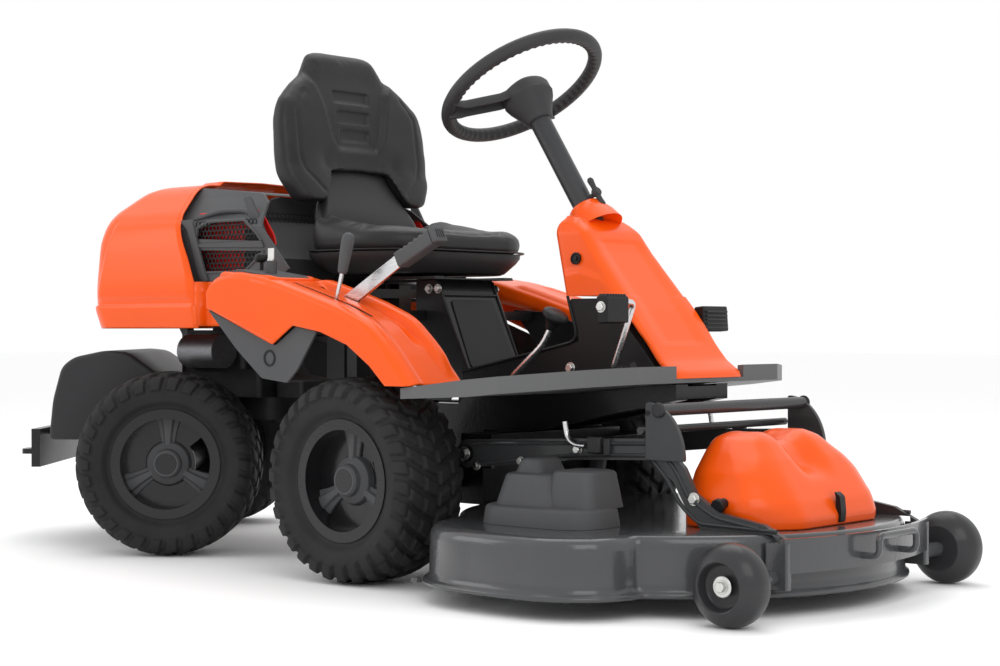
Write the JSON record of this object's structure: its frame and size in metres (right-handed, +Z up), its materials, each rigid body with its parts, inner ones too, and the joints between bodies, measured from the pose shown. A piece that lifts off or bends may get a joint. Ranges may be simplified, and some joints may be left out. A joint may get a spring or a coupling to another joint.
{
  "type": "riding lawn mower",
  "caption": "Ride-on lawn mower with front cutting deck, four equal wheels, swivelling rear axle unit, seat, tilting hood and steering column.",
  "frame": {"origin": "on the ground, below the centre of the machine's bounding box at rest", "axes": "+X forwards to the mower deck, +Y to the driver's left, +Z up"},
  "size_m": [2.3176, 1.09, 1.122],
  "materials": {
    "orange_plastic": "bright orange moulded bodywork, glossy",
    "grey_plastic": "dark grey moulded plastic, fine grain",
    "black_plastic": "black moulded plastic",
    "deck_paint": "dark grey glossy powder coat",
    "frame_paint": "black satin powder coat",
    "strip_paint": "mid grey powder coat",
    "tyre_rubber": "black tread rubber",
    "wheel_paint": "black satin rim with dark grey cover",
    "wheel_plastic": "black nylon roller",
    "bright_steel": "bare and zinc plated steel",
    "cast_parts": "bare castings, dark",
    "engine_metal": "cast aluminium with black cowling",
    "seat_vinyl": "black seat vinyl, fine grain",
    "grip_rubber": "black soft grip rubber"
  },
  "bodies": {
    "chassis": {"main_frame": "frame_paint", "front_axle": "cast_parts", "footplate": "strip_paint", "tunnel_plate": "black_plastic", "steering_console": "orange_plastic", "column_tube": "frame_paint", "fender_right": "orange_plastic", "fender_left": "orange_plastic", "side_panel_right": "grey_plastic", "side_panel_left": "grey_plastic", "control_panel": "grey_plastic", "seat_pedestal": "black_plastic", "seat_rails": "frame_paint", "engine_block": "engine_metal", "muffler": "bright_steel", "intake_cowl": "grey_plastic"},
    "rear_unit": {"rear_frame": "frame_paint", "rear_axle": "cast_parts", "counterweight": "cast_parts", "counterweight_cover": "grey_plastic", "tow_plate": "frame_paint"},
    "steering": {"steering_wheel": "grip_rubber", "steering_shaft": "bright_steel"},
    "hood": {"hood_shell": "orange_plastic", "hood_grille": "grey_plastic"},
    "seat": {"seat_pan": "black_plastic", "seat_cushion": "seat_vinyl", "seat_back": "seat_vinyl"},
    "deck": {"deck_shell": "deck_paint", "deck_frame": "frame_paint", "lift_tube": "bright_steel", "belt_cover": "orange_plastic", "belt_shields": "grey_plastic", "front_bar": "deck_paint", "spindle_housings": "cast_parts"},
    "fan": {"engine_fan": "engine_metal"},
    "forward_pedal": {"forward_pedal": "grip_rubber"},
    "reverse_pedal": {"reverse_pedal": "grip_rubber"},
    "brake_pedal": {"brake_pedal": "grip_rubber"},
    "lift_lever": {"lift_lever": "bright_steel"},
    "height_lever": {"height_lever": "bright_steel"},
    "throttle_lever": {"throttle_lever": "black_plastic"},
    "ignition_key": {"ignition_key": "black_plastic"},
    "column_knob": {"column_knob": "black_plastic"},
    "wheel_front_right": {"tyre_front_right": "tyre_rubber", "rim_front_right": "wheel_paint"},
    "wheel_front_left": {"tyre_front_left": "tyre_rubber", "rim_front_left": "wheel_paint"},
    "wheel_rear_right": {"tyre_rear_right": "tyre_rubber", "rim_rear_right": "wheel_paint"},
    "wheel_rear_left": {"tyre_rear_left": "tyre_rubber", "rim_rear_left": "wheel_paint"},
    "blade_right": {"blade_right": "bright_steel", "spindle_right": "bright_steel"},
    "blade_left": {"blade_left": "bright_steel", "spindle_left": "bright_steel"},
    "blade_centre": {"blade_centre": "bright_steel", "spindle_centre": "bright_steel"},
    "deck_wheel_right": {"deck_wheel_right": "wheel_plastic"},
    "deck_wheel_left": {"deck_wheel_left": "wheel_plastic"}
  },
  "joints": [
    {"name": "rear_steer", "type": "hinge", "parent": "chassis", "child": "rear_unit", "pos_m": [-0.69621, 0, 0.27], "axis": [0, 0, 1], "range_deg": [-85, 5]},
    {"name": "front_wheel_right", "type": "hinge", "parent": "chassis", "child": "wheel_front_right", "pos_m": [0.16779, -0.361, 0.2035], "axis": [0, 1, 0], "continuous": true},
    {"name": "rear_wheel_right", "type": "hinge", "parent": "rear_unit", "child": "wheel_rear_right", "pos_m": [-0.49864, -0.30547, 0.2035], "axis": [-0.6428, 0.766, 0], "continuous": true},
    {"name": "front_wheel_left", "type": "hinge", "parent": "chassis", "child": "wheel_front_left", "pos_m": [0.16779, 0.361, 0.2035], "axis": [0, 1, 0], "continuous": true},
    {"name": "rear_wheel_left", "type": "hinge", "parent": "rear_unit", "child": "wheel_rear_left", "pos_m": [-0.96273, 0.24762, 0.2035], "axis": [-0.6428, 0.766, 0], "continuous": true},
    {"name": "steering_turn", "type": "hinge", "parent": "chassis", "child": "steering", "pos_m": [0.32079, 0, 0.93], "axis": [-0.5424, 0, 0.8401], "range_deg": [-60, 700]},
    {"name": "hood_open", "type": "hinge", "parent": "chassis", "child": "hood", "pos_m": [-0.74721, 0, 0.53], "axis": [0, -1, 0], "range_deg": [0, 50]},
    {"name": "seat_slide", "type": "slide", "parent": "chassis", "child": "seat", "axis": [1, 0, 0], "range_m": [0, 0.08]},
    {"name": "deck_lift", "type": "hinge", "parent": "chassis", "child": "deck", "pos_m": [0.32779, 0, 0.255], "axis": [0, -1, 0], "range_deg": [0, 7]},
    {"name": "lift_lever_turn", "type": "hinge", "parent": "chassis", "child": "lift_lever", "pos_m": [0.03779, -0.345, 0.52], "axis": [0, -1, 0], "range_deg": [0, 45]},
    {"name": "blade_right_spin", "type": "hinge", "parent": "deck", "child": "blade_right", "pos_m": [0.59779, -0.32, 0.06], "axis": [0, 0, 1], "continuous": true},
    {"name": "blade_left_spin", "type": "hinge", "parent": "deck", "child": "blade_left", "pos_m": [0.59779, 0.32, 0.06], "axis": [0, 0, 1], "continuous": true},
    {"name": "blade_centre_spin", "type": "hinge", "parent": "deck", "child": "blade_centre", "pos_m": [0.85779, 0, 0.06], "axis": [0, 0, 1], "continuous": true},
    {"name": "deck_wheel_right_spin", "type": "hinge", "parent": "deck", "child": "deck_wheel_right", "pos_m": [1.04979, -0.377, 0.0715], "axis": [0, 1, 0], "continuous": true},
    {"name": "deck_wheel_left_spin", "type": "hinge", "parent": "deck", "child": "deck_wheel_left", "pos_m": [1.04979, 0.377, 0.0715], "axis": [0, 1, 0], "continuous": true},
    {"name": "fan_spin", "type": "hinge", "parent": "chassis", "child": "fan", "pos_m": [-0.53221, 0, 0.58], "axis": [0, 0, 1], "continuous": true},
    {"name": "forward_pedal_press", "type": "hinge", "parent": "chassis", "child": "forward_pedal", "pos_m": [0.43079, -0.15, 0.404], "axis": [0, 1, 0], "range_deg": [0, 15], "stiffness_Nm_per_rad": 6, "springref_deg": -20.05},
    {"name": "reverse_pedal_press", "type": "hinge", "parent": "chassis", "child": "reverse_pedal", "pos_m": [0.62579, -0.13, 0.424], "axis": [0, 1, 0], "range_deg": [0, 12], "stiffness_Nm_per_rad": 6, "springref_deg": -20.05},
    {"name": "brake_pedal_press", "type": "hinge", "parent": "chassis", "child": "brake_pedal", "pos_m": [0.60779, 0.12, 0.44], "axis": [0, 1, 0], "range_deg": [0, 12], "stiffness_Nm_per_rad": 8, "springref_deg": -20.05},
    {"name": "height_lever_turn", "type": "hinge", "parent": "chassis", "child": "height_lever", "pos_m": [0.10779, -0.395, 0.512], "axis": [0, 1, 0], "range_deg": [-12, 12]},
    {"name": "throttle_turn", "type": "hinge", "parent": "chassis", "child": "throttle_lever", "pos_m": [-0.13821, -0.359, 0.606], "axis": [0, 1, 0], "range_deg": [-25, 25]},
    {"name": "key_turn", "type": "hinge", "parent": "chassis", "child": "ignition_key", "pos_m": [-0.07221, -0.392, 0.64], "axis": [0, 0, -1], "range_deg": [0, 90]},
    {"name": "column_knob_turn", "type": "hinge", "parent": "chassis", "child": "column_knob", "pos_m": [0.43359, 0, 0.75528], "axis": [0.8401, 0, 0.5424], "continuous": true}
  ],
  "couplings": [
    {"joint": "steering_turn", "follows": "rear_steer", "ratio": -8},
    {"joint": "lift_lever_turn", "follows": "deck_lift", "ratio": 6.4},
    {"joint": "blade_left_spin", "follows": "blade_centre_spin", "ratio": 1},
    {"joint": "blade_right_spin", "follows": "blade_centre_spin", "ratio": 1}
  ]
}
